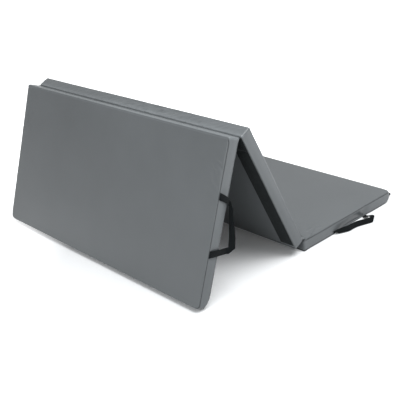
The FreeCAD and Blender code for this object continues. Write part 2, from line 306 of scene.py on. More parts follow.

# %% [markdown]
# ## The finishes
#
# The cover is coated cloth with a satin skin, a fine pebble grain and a slow change of tone; along its
# seams it is painted darker as shade, and at the ridge paler as a highlight. The webbing and tapes are
# black but never flat black: their ribs catch the light, so the weave is in the height, and its tone
# paints highlights on the ribs and shade between them.

# %% Start a material
def new_material(name, specular, sheen=0.0):
    """A material with one Principled shader: (material, its tree, the shader, object place)."""
    material = bpy.data.materials.new(name)
    material.use_nodes = True
    tree = material.node_tree
    shader = tree.nodes["Principled BSDF"]
    shader.inputs["Specular IOR Level"].default_value = specular
    shader.inputs["Sheen Weight"].default_value = sheen
    place = tree.nodes.new("ShaderNodeTexCoord").outputs["Object"]
    return material, tree, shader, place


def raise_surface(tree, shader, height, distance):
    """Feed a height through a Bump node to the shader's normal."""
    bump = add_node(tree, "ShaderNodeBump", Height=height, Strength=1.0, Distance=distance)
    feed(tree, bump.outputs["Normal"], shader.inputs["Normal"])


# %% The cover's coated cloth
VINYL_COLOUR = (0.143, 0.1565, 0.165, 1)
VINYL_RELIEF = 0.00012
SEAM_LAYER = "seam"


def vinyl_material():
    material, tree, shader, place = new_material("satin_vinyl", specular=0.45)
    wide = use_group(tree, SOFT_TONE, Vector=place, Patch_Size=0.5, Strength=0.30)
    patchy = use_group(tree, SOFT_TONE, Vector=place, Patch_Size=0.06, Strength=0.05)
    grain = use_group(tree, FINE_GRAIN, Vector=place, Grain_Size=0.0011)
    seam = add_node(tree, "ShaderNodeAttribute", {"attribute_name": SEAM_LAYER}).outputs["Fac"]
    # The seam layer paints shade along the seams, and where it is below 0 a highlight at the ridge.
    seam_shade = use_group(tree, SEAM_SHADE, Vector=place, Seam=seam, Depth=0.9)
    speckle = remap(tree, grain["Speckle"], 0.3, 0.7, 0.97, 1.03)
    tone = times(tree, wide["Tone"], patchy["Tone"], speckle, seam_shade["Tone"])
    feed(tree, scale_colour(tree, VINYL_COLOUR, tone), shader.inputs["Base Color"])
    feed(tree, remap(tree, patchy["Tone"], 0.98, 1.02, 0.31, 0.38), shader.inputs["Roughness"])
    raise_surface(tree, shader, grain["Height"], VINYL_RELIEF)
    return material


VINYL = vinyl_material()


# %% Webbing and tape
WEAVE_MAP = "weave"


def woven_material(name, colour, rib, column, relief):
    """A black tape or webbing. Its pattern follows the piece's own map, X across and Y along."""
    material, tree, shader, place = new_material(name, specular=0.08, sheen=0.03)
    own = add_node(tree, "ShaderNodeUVMap", {"uv_map": WEAVE_MAP}).outputs["UV"]
    weave = use_group(tree, WEAVE, Vector=own, Rib=rib, Column=column)
    worn = use_group(tree, SOFT_TONE, Vector=place, Patch_Size=0.03, Strength=0.35)
    # The weave's tone is painted highlight on the ribs and painted shade between them.
    tone = times(tree, weave["Tone"], worn["Tone"])
    feed(tree, scale_colour(tree, colour, tone), shader.inputs["Base Color"])
    feed(tree, remap(tree, weave["Tone"], 0.55, 1.2, 0.85, 0.62), shader.inputs["Roughness"])
    raise_surface(tree, shader, weave["Height"], relief)
    return material


WEBBING = woven_material("black_webbing", colour=(0.0070, 0.0090, 0.0100, 1),
                         rib=0.0016, column=0.0031, relief=0.0004)
THREAD = woven_material("black_thread", colour=(0.0090, 0.0105, 0.0115, 1),
                        rib=0.0012, column=0.0009, relief=0.0001)


# %% Hook-and-loop pile
PILE_COLOUR = (0.0260, 0.0300, 0.0315, 1)
PILE_RELIEF = 0.0008


def pile_material():
    material, tree, shader, place = new_material("black_pile", specular=0.06, sheen=0.03)
    nap = use_group(tree, FINE_GRAIN, Vector=place, Grain_Size=0.0016)
    worn = use_group(tree, SOFT_TONE, Vector=place, Patch_Size=0.02, Strength=0.5)
    tone = times(tree, worn["Tone"], remap(tree, nap["Speckle"], 0.35, 0.65, 0.6, 1.5))
    feed(tree, scale_colour(tree, PILE_COLOUR, tone), shader.inputs["Base Color"])
    feed(tree, remap(tree, nap["Speckle"], 0.3, 0.7, 0.95, 0.75), shader.inputs["Roughness"])
    raise_surface(tree, shader, nap["Height"], PILE_RELIEF)
    return material


PILE = pile_material()
print("materials:", [material.name for material in (VINYL, WEBBING, THREAD, PILE)])

# %% [markdown]
# ## Floor and light
#
# The floor is one pale plane. One large soft lamp hangs over the near side of the mat, and a weaker
# one stands off to the left. The camera's own rays see a white world, and a floor that fades to white
# away from the mat, so the background is clean while the object is lit at a plain level and its
# shadow stays.

# %% Build the stage
FLOOR_SIZE = 30
FLOOR_DROP = 0.0004


def floor_piece():
    bm = bmesh.new()
    bmesh.ops.create_grid(bm, x_segments=1, y_segments=1, size=FLOOR_SIZE / 2)
    bmesh.ops.translate(bm, vec=(0, 0, -FLOOR_DROP), verts=bm.verts)
    mesh = bpy.data.meshes.new("floor")
    bm.to_mesh(mesh)
    bm.free()
    return bpy.data.objects.new("floor", mesh)


def camera_or_mirror_ray(tree):
    """1 for rays that the camera, a reflection or clear glass sends out, and 0 for light rays."""
    path = tree.nodes.new("ShaderNodeLightPath").outputs
    seen = calc(tree, "MAXIMUM", path["Is Camera Ray"], path["Is Glossy Ray"])
    return calc(tree, "MAXIMUM", seen, path["Is Transmission Ray"])


FLOOR_TINT = (0.965, 0.985, 1, 1)
SHADOW_CENTRE = (-0.2, -0.4, 0)
SHADOW_REACH = 0.7
WHITE_FROM = 1.25


def floor_material(lift, bounce):
    """White to the camera and to mirror rays, and darker for the light that it throws back up."""
    material, tree, shader, place = new_material("plain_floor", specular=0.0)
    shader.inputs["Roughness"].default_value = 1
    seen = camera_or_mirror_ray(tree)
    level = calc(tree, "MULTIPLY_ADD", seen, 1 - bounce, bounce)
    feed(tree, scale_colour(tree, FLOOR_TINT, level), shader.inputs["Base Color"])
    away = add_node(tree, "ShaderNodeVectorMath", {"operation": "DISTANCE"})
    feed(tree, place, away.inputs[0])
    away.inputs[1].default_value = SHADOW_CENTRE
    far = remap(tree, away.outputs["Value"], SHADOW_REACH, WHITE_FROM, lift, 1)
    feed(tree, times(tree, seen, far), shader.inputs["Emission Strength"])
    shader.inputs["Emission Color"].default_value = (1, 1, 1, 1)
    return material


floor = floor_piece()
floor.data.materials.append(floor_material(lift=0.04, bounce=0.55))
bpy.context.scene.collection.objects.link(floor)


# %% World and lamps
def white_world(strength, mirrored):
    """A world that lights at a plain strength and shows as white."""
    world = bpy.data.worlds.new("white room")
    world.use_nodes = True
    tree = world.node_tree
    background = tree.nodes["Background"]
    background.inputs["Color"].default_value = (1, 1, 1, 1)
    path = tree.nodes.new("ShaderNodeLightPath")
    level = calc(tree, "MULTIPLY_ADD", path.outputs["Is Camera Ray"], 1 - strength, strength)
    level = calc(tree, "MULTIPLY_ADD", path.outputs["Is Glossy Ray"], mirrored - strength, level)
    feed(tree, level, background.inputs["Strength"])
    bpy.context.scene.world = world


def soft_lamp(name, at, towards, size, watts):
    """A square area lamp that faces a point."""
    lamp = bpy.data.lights.new(name, "AREA")
    lamp.shape = "SQUARE"
    lamp.size = size
    lamp.energy = watts
    holder = bpy.data.objects.new(name, lamp)
    holder.matrix_world = Matrix.Translation(at) @ (
        (Vector(at) - Vector(towards)).to_track_quat("Z", "Y").to_matrix().to_4x4())
    bpy.context.scene.collection.objects.link(holder)


LIT_POINT = (-0.2, -0.1, 0.2)
white_world(strength=0.38, mirrored=0.62)
soft_lamp("overhead", at=(0, -1.6, 3.0), towards=LIT_POINT, size=2.0, watts=90)
soft_lamp("side", at=(-3.0, -1.1, 1.7), towards=LIT_POINT, size=1.8, watts=25)

# %% [markdown]
# ## The blank of a cover
#
# Each cover is one closed form: a top sheet, a side band and a bottom sheet. It starts as a cube,
# and three calls of subdivide_edges cut it into rows. The rows are then moved so that they lie
# close together over the rims and the seams, where cloth bends, and further apart on the flats.

# %% Places of the cross cuts
ROLL = 0.005
SEAM_ZONE = 0.007


def stations(half, zones):
    """Places of cuts from -half to half. Each zone, in from an edge, is (depth, spacing)."""
    inset, found = 0.0, [0.0]
    for depth, spacing in zones:
        count = max(1, round((depth - inset) / spacing))
        found += [inset + (depth - inset) * (k + 1) / count for k in range(count)]
        inset = depth
    left = [-half + value for value in found]
    return left + [-value for value in reversed(left[:-1])]


SEAM_CUT = (SEAM_ZONE, 0.001)
RIM_CUT = (0.015, 0.002)
CREASE_CUT = (0.12, 0.0045)
STATIONS = (
    stations(HALF.x, [SEAM_CUT, RIM_CUT, CREASE_CUT, (HALF.x, 0.008)]),
    stations(HALF.y, [SEAM_CUT, RIM_CUT, (HALF.y, 0.0055)]),
    stations(HALF.z, [SEAM_CUT, (HALF.z, 0.003)]),
)
print("cuts along, across and up:", [len(places) for places in STATIONS])


# %% Cut the cube
def cut_block():
    """A block as large as a panel, about the origin, cut at the stations."""
    bm = bmesh.new()
    bmesh.ops.create_cube(bm, size=2)
    for axis, places in enumerate(STATIONS):
        along = [e for e in bm.edges if abs(e.verts[0].co[axis] - e.verts[1].co[axis]) > 1]
        bmesh.ops.subdivide_edges(bm, edges=along, cuts=len(places) - 2)
    for vert in bm.verts:
        for axis, places in enumerate(STATIONS):
            vert.co[axis] = places[round((vert.co[axis] + 1) / 2 * (len(places) - 1))]
    return bm


# %% [markdown]
# The block's edges are then rounded by a rule instead of a bevel, because the cover is rounder at
# its free corners than along its seams. A square zone by each edge is mapped to a quarter circle,
# first in plan for the four upright corners, then in section for the rims.

# %% Round the block into a padded form
FOLD_CORNER = 0.006
FREE_CORNER = 0.020
CORNER_ROLL = 0.019
CORNER_REACH = 0.045
CORNER_ROLL_ON_TOP = 0.25
TIGHT_ROLL_FROM = 0.03
TIGHT_ROLL_AT = 0.01


def ease(value):
    """0 below 0, 1 above 1, and a smooth step between."""
    value = min(1.0, max(0.0, value))
    return value * value * (3 - 2 * value)


def hill(value):
    """1 at 0, falling smoothly to 0 at 1 and beyond, on both sides."""
    return (1 - value * value) ** 2 if abs(value) < 1 else 0.0


def square_to_round(a, b):
    """Move a point of a square on to the quarter disc inside it."""
    longest, straight = max(a, b), math.hypot(a, b)
    return a * longest / straight, b * longest / straight


def roll_radius(co, free_end):
    """How round the rim is: softer at the free end's corners, and tight under the fold's end."""
    along = 1 - ease((HALF.x - co.x * free_end) / CORNER_REACH)
    across = 1 - ease((HALF.y - abs(co.y)) / CORNER_REACH)
    to_fold = HALF.x + free_end * co.x
    at_fold = ease((TIGHT_ROLL_FROM - to_fold) / (TIGHT_ROLL_FROM - TIGHT_ROLL_AT))
    if co.z < 0:
        return ROLL * (1 - 0.5 * at_fold) + CORNER_ROLL * along * across
    return ROLL + CORNER_ROLL * along * across * CORNER_ROLL_ON_TOP


def past_straight(co, free_end):
    """The nearest corner's radius, and how far a point lies past the straight part of each side.

    The upright corners are rounder at the free end, the X side that has no hinge.
    """
    radius = FREE_CORNER if co.x * free_end > 0 else FOLD_CORNER
    return radius, abs(co.x) - (HALF.x - radius), abs(co.y) - (HALF.y - radius)


def round_point(co, free_end):
    """Place of a block's point on the rounded form."""
    radius, beyond_x, beyond_y = past_straight(co, free_end)
    side = Vector((math.copysign(1, co.x), math.copysign(1, co.y)))
    if beyond_x > 0 and beyond_y > 0:
        out = Vector((beyond_x, beyond_y)).normalized()
    else:
        out = Vector((1, 0)) if beyond_x > beyond_y else Vector((0, 1))
    reach = max(beyond_x, beyond_y)
    roll = roll_radius(co, free_end)
    inward, upward = reach - radius + roll, abs(co.z) - HALF.z + roll
    if inward > 0 and upward > 0:
        inward, upward = square_to_round(inward, upward)
    new_reach = inward + radius - roll
    height = math.copysign(upward + HALF.z - roll, co.z)
    if beyond_x > 0 and beyond_y > 0:
        plan = Vector((HALF.x - radius, HALF.y - radius)) + out * new_reach
    else:
        plan = Vector((abs(co.x), abs(co.y))) + out * (new_reach - reach)
    return Vector((plan.x * side.x, plan.y * side.y, height))


# %% [markdown]
# ## How the cloth lies
#
# Foam this firm keeps a cover almost flat, so the shapes are small: a slight crown, a groove at each
# seam with little puckers beside it, a band that bows out between its seams, and dimples where the
# webbing pulls. Each is a function that gives a height over the surface, in metres, at a point of
# the panel's own frame. Where a function shapes only one face, it asks which way the surface faces:
# FACING is the least share of that face's direction.

# %% Heights shared by all three covers
CROWN = 0.0022
UNDERSIDE_DISH = 0.0011
GROOVE = 0.0028
SEAM_HALF = 0.0032
SEAM_ON_SHEET = -0.0042
SEAM_PLACES = {1: 0.0030, 2: SEAM_ON_SHEET, 3: 0.0038}
FREE_ENDS = {1: -1, 2: 0, 3: 1}
RIDGE_ENDS = {1: 1, 2: -1, 3: 0}
BAND_SLACK = 0.0012
PUCKER = 0.0008
DRIFT = 0.0009
FACING = 0.7


def crown(co, facing):
    """The top swells a little; the underside is pressed flat, and its strips lie in that dish."""
    over_x = 1 - (co.x / HALF.x) ** 4
    over_y = 1 - (co.y / HALF.y) ** 6
    if facing.z > FACING:
        return CROWN * over_x * over_y
    if facing.z < -FACING:
        return -UNDERSIDE_DISH * min(1, 9 * over_x) * min(1, 9 * over_y)
    return 0.0


def inset_from_outline(co, free_end):
    """How far in from the rounded outline a point lies, seen from above."""
    radius, beyond_x, beyond_y = past_straight(co, free_end)
    if beyond_x > 0 and beyond_y > 0:
        return radius - math.hypot(beyond_x, beyond_y)
    return radius - max(beyond_x, beyond_y)


def seam_place(co, number):
    """Where the seam runs: how far down the side from the rim, or up on to the sheet below 0."""
    at_ridge = ease((co.x * RIDGE_ENDS[number] - HALF.x + 0.020) / 0.012)
    return SEAM_PLACES[number] + (SEAM_ON_SHEET - SEAM_PLACES[number]) * at_ridge


def to_seam(co, number):
    """Distance from a point of the cover to the seam of its nearest rim, over the surface."""
    down = HALF.z - abs(co.z) - inset_from_outline(co, FREE_ENDS[number])
    return abs(down - seam_place(co, number))


def seam_mask(co, number):
    """1 along the side band's seams, for painted shade; below 0 at the ridge, for a painted highlight.
    """
    at_ridge = ease((co.x * RIDGE_ENDS[number] - HALF.x + 0.012) / 0.008)
    depth = 1 - at_ridge * (0.55 if co.z > 0 else 1.0)
    # At the ridge the mask paints a highlight on panel 1's end and on the foot of panel 2's end.
    painted_highlight = at_ridge * {1: 0.42, 2: 0.35 * ease(-co.z / 0.02), 3: 0}[number]
    return depth * hill(to_seam(co, number) / SEAM_HALF) - painted_highlight


def pucker(co, number):
    """Short pleats that a seam's stitches draw into the cloth on both sides of it."""
    pleats = noise.noise(Vector((co.x / 0.011, co.y / 0.011, co.z / 0.03 + number)))
    return PUCKER * pleats * math.exp(-to_seam(co, number) / 0.009)


def band_bow(co, facing):
    """The side band is a little slack: it bows out between its seams, here more and there less."""
    if abs(facing.z) > FACING:
        return 0.0
    between = hill(co.z / (HALF.z - ROLL))
    slack = noise.noise(Vector((co.x / 0.09, co.y / 0.09, 5)))
    return BAND_SLACK * (1 + slack) * between


def drift(co, facing):
    """Long, shallow swells, because no large face of cloth is quite flat."""
    if facing.z < -FACING:
        return 0.0
    return DRIFT * noise.noise(Vector((co.x / 0.22, co.y / 0.30, co.z / 0.2)))


# %% [markdown]
# Creases in coated cloth are sharp along the crest and broad between, and they run in bundles. A
# noise stretched along one direction and folded about zero has that look. Turned about a point, the
# same noise makes the fan of creases that spreads from a pulled corner.

# %% Heights of creases
def folded_noise(across, along, seed):
    """Sharp crests and broad valleys, from 0 to 1, for places given in crease widths."""
    value = noise.noise(Vector((across, along, seed)))
    value += 0.4 * noise.noise(Vector((2.3 * across, 1.7 * along, seed + 7)))
    return max(0.0, 1 - 2.6 * abs(value)) ** 1.5


def bundle(a, b, angle, width, length, seed):
    """Creases that run at an angle over a flat face whose two coordinates are a and b."""
    along = a * math.cos(angle) + b * math.sin(angle)
    across = b * math.cos(angle) - a * math.sin(angle)
    bend = 0.35 * noise.noise(Vector((a / 0.06, b / 0.06, seed)))
    return folded_noise(across / width + bend, along / length, seed)


def fan(a, b, count, reach, seed):
    """Creases that spread from a point; a and b are the distances from it."""
    distance = math.hypot(a, b)
    if distance < 1e-6 or distance > reach:
        return 0.0
    angle = math.atan2(b, a) + 0.25 * noise.noise(Vector((a / 0.05, b / 0.05, seed)))
    fade = ease(distance / (0.18 * reach)) * hill(distance / reach)
    return fade * folded_noise(count * angle / math.pi, distance / (0.8 * reach), seed)


# %% Heights that belong to one panel
HANDLE_LEG = 0.104
LEG_DIMPLE = 0.0030
RIDGE_CREASE = 0.0050
RIDGE_CREASE_ZERO = 0.7
FRONT_CREASE = 0.0030
VALLEY_CREASE = 0.0100
SEAM_DIP = 0.0030
SIDE_LEAN = 0.0090


def leg_dimples(co, facing):
    """The side band dips beside each leg of a handle, where the webbing pulls its seam."""
    if abs(facing.y) < 0.5:
        return 0.0
    offset = abs(abs(co.x) - HANDLE_LEG)
    pull = hill(offset / 0.034) * hill((co.z - 0.004) / 0.03)
    return -LEG_DIMPLE * pull


def ridge_creases(co, facing):
    """Panel 2's ridge end shows slanting creases, strongest near the middle and the near side."""
    if facing.x > -FACING:
        return 0.0
    where = 0.35 + 0.65 * hill((co.y + 0.16) / 0.42)
    inside = ease((HALF.z - abs(co.z)) / 0.012)
    creases = bundle(co.y, co.z, math.radians(-38), width=0.020, length=0.08, seed=11)
    return RIDGE_CREASE * where * inside * (creases - RIDGE_CREASE_ZERO)


def front_creases(co, facing):
    """Panel 1's top sheet is drawn into soft slanting creases above each handle."""
    if facing.z < FACING:
        return 0.0
    edge = HALF.y - abs(co.y)
    window = hill((co.x - 0.175) / 0.15) * hill(edge / 0.10) * ease(edge / 0.012)
    slanting = bundle(co.x, edge, math.radians(58), width=0.026, length=0.10, seed=23)
    return FRONT_CREASE * window * slanting


def valley_fan(co, facing):
    """Creases spread from both ends of the valley on to panel 3's top sheet."""
    if facing.z < FACING:
        return 0.0
    spread = fan(co.x + HALF.x + 0.004, HALF.y - abs(co.y) + 0.004, count=8, reach=0.17, seed=31)
    return -VALLEY_CREASE * spread


def handle_3_pull(co, facing):
    """Panel 3's side leans in under the mat over each handle, and its top seam dips with it."""
    window = hill((co.x - 0.02) / 0.15)
    if facing.z > FACING:
        return -SEAM_DIP * window * hill((HALF.y - abs(co.y)) / 0.045)
    if abs(facing.y) < 0.5:
        return 0.0
    return -SIDE_LEAN * window * ease((HALF.z - co.z) / THICKNESS)


EVERYWHERE = (crown, band_bow, drift)
OWN_SHAPES = {
    1: (leg_dimples, front_creases),
    2: (ridge_creases,),
    3: (leg_dimples, valley_fan, handle_3_pull),
}


# %% [markdown]
# ## The three covers
#
# A helper finishes every piece the same way: it stands the mesh in its place, smooths the shading,
# gives it a material and names it. The cover's seam mask is kept as a point attribute, so that the
# vinyl can paint shade along its seams and a highlight at the ridge.

# %% Turn a bmesh into a piece
def new_piece(name, bm, place, material, body=None):
    """An object from a bmesh in some frame; it rides on a body when one is given."""
    bmesh.ops.transform(bm, matrix=place, verts=bm.verts)
    if place.determinant() < 0:
        bmesh.ops.reverse_faces(bm, faces=bm.faces)
    mesh = bpy.data.meshes.new(name)
    bm.to_mesh(mesh)
    bm.free()
    mesh.materials.append(material)
    mesh.shade_smooth()
    piece = bpy.data.objects.new(name, mesh)
    bpy.context.scene.collection.objects.link(piece)
    if body:
        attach(piece, body)
    print(name, len(mesh.polygons), "faces")
    return piece


# %% Shape one cover
LIFT = Matrix.Translation((0, 0, HALF.z))
HINGE_END_SWELL = 0.0009


def cover(number):
    """The whole cover of one panel, over its foam."""
    bm = cut_block()
    free_end = FREE_ENDS[number]
    for vert in bm.verts:
        vert.co = round_point(vert.co, free_end)
    bm.normal_update()
    seam_layer = bm.verts.layers.float.new(SEAM_LAYER)
    moves = []
    shapes = EVERYWHERE + OWN_SHAPES[number]
    for vert in bm.verts:
        height = sum(shape(vert.co, vert.normal) for shape in shapes) + pucker(vert.co, number)
        at_end = abs(vert.normal.x) > FACING
        if at_end and vert.normal.x * free_end <= 0:
            height = min(height, HINGE_END_SWELL)
        # The seam layer paints shade along the seams and a highlight at the ridge; its positive part
        # also cuts the groove.
        vert[seam_layer] = seam_mask(vert.co, number)
        moves.append(vert.normal * (height - GROOVE * max(0.0, vert[seam_layer])))
    for vert, move in zip(bm.verts, moves):
        vert.co += move
    piece = new_piece(f"panel_{number}_cover", bm, PLACES[number] @ LIFT, VINYL, f"panel_{number}")
    stands_for = ("foam_core", "top_skin", "bottom_skin", "side_band")
    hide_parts(*(f"panel_{number}_{part}" for part in stands_for))
    return piece


COVERS = {number: cover(number) for number in PLACES}

# %% [markdown]
# ## Flat pieces of tape
#
# Strips, webbing and the end flap are all flat woven goods: an outline with a small thickness and
# rounded rims. One helper makes them: a face from the outline, an extrusion, a bevel round the rims
# and a few cross cuts, so that the piece can bend. Its map is in metres, so the weave keeps its size.

# %% A flat piece from an outline
ALONG_Y = Vector((0, 1, 0))


def only_verts(geometry):
    """The vertices among what an operator has made."""
    return [part for part in geometry if isinstance(part, bmesh.types.BMVert)]


def cut_across(bm, direction, places):
    """Cut all the way through a mesh at some places along a direction."""
    for place in places:
        bmesh.ops.bisect_plane(bm, geom=bm.verts[:] + bm.edges[:] + bm.faces[:], dist=1e-6,
                               plane_co=direction * place, plane_no=direction)


def tape(outline, thickness, cuts_x=(), cuts_y=()):
    """A flat piece from Z 0 to its thickness, with rounded rims and cuts at the given places."""
    bm = bmesh.new()
    face = bm.faces.new([bm.verts.new((x, y, 0)) for x, y in outline])
    grown = bmesh.ops.extrude_face_region(bm, geom=[face])["geom"]
    bmesh.ops.translate(bm, vec=(0, 0, thickness), verts=only_verts(grown))
    bmesh.ops.recalc_face_normals(bm, faces=bm.faces)
    rims = [e for e in bm.edges if abs(e.verts[0].co.z - e.verts[1].co.z) < thickness / 2]
    bmesh.ops.bevel(bm, geom=rims, offset=0.35 * thickness, offset_type="OFFSET", affect="EDGES",
                    segments=2, profile=0.5, material=-1)
    cut_across(bm, Vector((1, 0, 0)), cuts_x)
    cut_across(bm, ALONG_Y, cuts_y)
    return bm


def evenly(low, high, spacing):
    """Places from low to high, both left out, about a spacing apart."""
    count = max(1, round((high - low) / spacing))
    return [low + (high - low) * k / count for k in range(1, count)]


def map_weave(bm, turned=lambda co: False):
    """Give a flat piece its map: X across and Y along, swapped where turned says so."""
    layer = bm.loops.layers.uv.new(WEAVE_MAP)
    for face in bm.faces:
        swap = turned(face.calc_center_median())
        for loop in face.loops:
            x, y = loop.vert.co.x, loop.vert.co.y
            loop[layer].uv = (y, x) if swap else (x, y)


def rectangle(low_x, high_x, low_y, high_y):
    return [(low_x, low_y), (high_x, low_y), (high_x, high_y), (low_x, high_y)]


# %% [markdown]
# ## Stitches
#
# A stitch is a short bead of thread, so a row of stitches is many copies of one small ball, drawn
# out along the row. All stitches of a body are one piece.

# %% Rows of stitches
STITCH = Vector((0.0034, 0.0008, 0.0007))
STITCH_PITCH = 0.0052


def join_into(bm, other):
    """Add another bmesh's shape to bm."""
    mesh = bpy.data.meshes.new("joined")
    other.to_mesh(mesh)
    other.free()
    bm.from_mesh(mesh)
    bpy.data.meshes.remove(mesh)


def stitch_row(bm, start, end, up):
    """Stitches from start to end, on a surface whose outward direction is up."""
    run = end - start
    count = max(1, round(run.length / STITCH_PITCH))
    along = run.normalized()
    across = up.cross(along).normalized()
    turned = Matrix((along, across, up)).transposed().to_4x4()
    row = bmesh.new()
    spot = Matrix.Translation(start + run * 0.5 / count) @ turned @ Matrix.Diagonal((*STITCH, 1))
    bmesh.ops.create_uvsphere(row, u_segments=6, v_segments=4, radius=0.5, matrix=spot)
    bmesh.ops.spin(row, geom=row.verts[:] + row.edges[:] + row.faces[:], cent=start, axis=up,
                   dvec=run / count, angle=0, steps=count - 1, use_duplicate=True)
    join_into(bm, row)


def stitch_round(bm, low_x, high_x, low_y, high_y, z, up):
    """Stitches round a rectangle that lies at height z."""
    corners = [Vector((x, y, z)) for x, y in rectangle(low_x, high_x, low_y, high_y)]
    for k, corner in enumerate(corners):
        stitch_row(bm, corner, corners[(k + 1) % 4], up)


THREADS = {number: bmesh.new() for number in PLACES}

# %% [markdown]
# ## Hook-and-loop strips
#
# Wide black strips run along both sides of every underside, and one more crosses panel 1's free end.
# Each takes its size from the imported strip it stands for, measured back in the panel's own frame. A
# side strip is then trimmed a little along its inner edge, and panel 2's wrap over the side's rim.

# %% Strips on the undersides
STRIP_THICKNESS = 0.0010
STRIP_HEM = 0.003
STRIP_OVER = {1: 0.0, 2: 0.0025, 3: 0.0}
STRIP_TRIM = 0.005
DOWN = Vector((0, 0, -1))


def box_in_panel(node, number):
    """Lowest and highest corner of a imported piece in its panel's own frame."""
    back = PLACES[number].inverted()
    values = list(zip(*(back @ vert.co for vert in frame["nodes"][node].data.vertices)))
    return Vector([min(column) for column in values]), Vector([max(column) for column in values])


def underside_strip(node, number):
    """One flat strip of pile tape, sewn to the underside of a panel."""
    low, high = box_in_panel(node, number)
    if "side_strip" in node:
        if low.y < 0:
            low.y -= STRIP_OVER[number]
            high.y -= STRIP_TRIM
        else:
            low.y += STRIP_TRIM
            high.y += STRIP_OVER[number]
    bm = tape(rectangle(low.x, high.x, low.y, high.y), STRIP_THICKNESS,
              evenly(low.x, high.x, 0.03), evenly(low.y, high.y, 0.03))
    map_weave(bm)
    stitch_round(THREADS[number], low.x + STRIP_HEM, high.x - STRIP_HEM,
                 low.y + STRIP_HEM, high.y - STRIP_HEM, 0.0001, DOWN)
    strip = new_piece(node + "_tape", bm, PLACES[number], PILE, f"panel_{number}")
    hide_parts(node)


for number in PLACES:
    for name, _ in NEAR_AND_FAR:
        underside_strip(f"panel_{number}_side_strip_{name}", number)
underside_strip("end_loop_strip", 1)

# %% [markdown]
# ## The two hinge strips
#
# A hinge strip is sewn to the ends of two panels and folds along the hinge line between them. Its
# section is drawn from one panel to the other through that line, drawn out along the fold, and given
# its thickness. The valley's strip is grey cover cloth. The ridge's strip is a wide black tape on the
# undersides, up to the ends of the side strips.

# %% Draw out and thicken a section
SEATED_AT = 0.016
FOLD_REACH = 0.008
STRIP_PLEAT = 0.0012
PLEATS_FADE_AT = 0.12


def leaf_point(number, end, over, distance, sunk):
    """A point of a strip's outside, at a distance from its hinge line over a panel's face."""
    face = THICKNESS if over > 0 else 0
    rise = FACE_GAP * (1 - ease(distance / SEATED_AT)) - sunk * ease(distance / SEATED_AT)
    return PLACES[number] @ Vector((end * (HINGE_X - distance), 0, face + over * rise))


def hinge_section(first, second, over, half_width, sunk):
    """The strip's outside line, from the first panel's end over the fold to the second's."""
    near_fold = [0.0015, 0.003, 0.005, 0.0075, 0.0105, 0.0135, SEATED_AT]
    distances = near_fold + evenly(SEATED_AT, half_width, 0.01) + [half_width]
    line = [leaf_point(*first, over, distance, sunk) for distance in reversed(distances)]
    line.append(leaf_point(*first, over, 0, sunk))
    return line + [leaf_point(*second, over, distance, sunk) for distance in distances]


def hinge_strip_mesh(section, low_y, high_y):
    """Draw the section out along the fold, with cuts across it."""
    bm = bmesh.new()
    verts = [bm.verts.new((point.x, low_y, point.z)) for point in section]
    edges = [bm.edges.new(pair) for pair in zip(verts, verts[1:])]
    drawn = bmesh.ops.extrude_edge_only(bm, edges=edges)["geom"]
    bmesh.ops.translate(bm, vec=(0, high_y - low_y, 0), verts=only_verts(drawn))
    cut_across(bm, ALONG_Y, evenly(low_y, high_y, 0.006))
    return bm


def round_fold(bm, hinge):
    """Let the strip turn over its hinge line in a soft arc."""
    for _ in range(3):
        fold = [vert for vert in bm.verts
                if math.hypot(vert.co.x - hinge.x, vert.co.z - hinge.z) < FOLD_REACH]
        bmesh.ops.smooth_vert(bm, verts=fold, factor=0.5, use_axis_x=True, use_axis_z=True)


def pleat_ends(bm, low_y, high_y, sign):
    """Small pleats across the strip, strongest at the two ends of the fold."""
    for vert in bm.verts:
        to_end = min(vert.co.y - low_y, high_y - vert.co.y)
        pull = folded_noise(vert.co.y / 0.021, vert.co.x / 0.05, 41) * hill(to_end / PLEATS_FADE_AT)
        vert.co += vert.normal * sign * STRIP_PLEAT * pull


# %% Make one hinge strip
def hinge_strip(name, first, second, over, half_width, sunk, thickness, material, extra):
    """One strip. first and second are (panel, which end of it the hinge is at).

    over is 1 on the top faces and -1 on the undersides; extra is how much longer than the packed
    leaves each end is. Seen from above, through the gap at the ridge, a strip shows cover cloth.
    """
    leaf_low, leaf_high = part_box(f"{name}_leaf_{first[0]}")
    low_y, high_y = leaf_low.y - extra, leaf_high.y + extra
    hinge = VALLEY if over > 0 else RIDGE
    section = hinge_section(first, second, over, half_width, sunk)
    bm = hinge_strip_mesh(section, low_y, high_y)
    round_fold(bm, hinge)
    bm.normal_update()
    bm.faces.ensure_lookup_table()
    sign = 1 if bm.faces[0].normal.z * over > 0 else -1
    pleat_ends(bm, low_y, high_y, sign)
    bmesh.ops.solidify(bm, geom=bm.faces[:], thickness=-sign * thickness)
    bmesh.ops.recalc_face_normals(bm, faces=bm.faces)
    map_weave(bm)
    strip = new_piece(name + "_strip", bm, Matrix.Identity(4), material)
    if over < 0:
        strip.data.materials.append(VINYL)
        for face in strip.data.polygons:
            face.material_index = 1 if face.normal.z > 0.2 else 0
    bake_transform(strip)
    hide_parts(f"{name}_leaf_{first[0]}", f"{name}_leaf_{second[0]}")
    return strip


# %% Valley and ridge
valley_strip = hinge_strip("valley_hinge", (3, -1), (2, 1), over=1, half_width=0.020, sunk=0.0005,
                           thickness=0.0012, material=VINYL, extra=0.012)
ridge_half_width = box_in_panel("panel_2_side_strip_near", 2)[0].x + HINGE_X - 0.0015
ridge_strip = hinge_strip("ridge_hinge", (2, -1), (1, 1), over=-1, half_width=ridge_half_width,
                          sunk=0.0, thickness=0.0010, material=PILE, extra=0.0165)
ridge_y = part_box("ridge_hinge_leaf_2")[1].y
for number, end in ((2, -1), (1, 1)):
    x = end * (HINGE_X - ridge_half_width + STRIP_HEM)
    stitch_row(THREADS[number], Vector((x, -ridge_y, 0.0001)), Vector((x, ridge_y, 0.0001)), DOWN)

# %% [markdown]
# ## Carrying handles
#
# A handle is one length of webbing that is folded to a mitre at its two corners, with both ends sewn
# into the cover's seam. It is drawn flat in its own frame: X along the line that it swings about, Y
# out to its grip. Real webbing never hangs square, so a function then bends the flat shape.

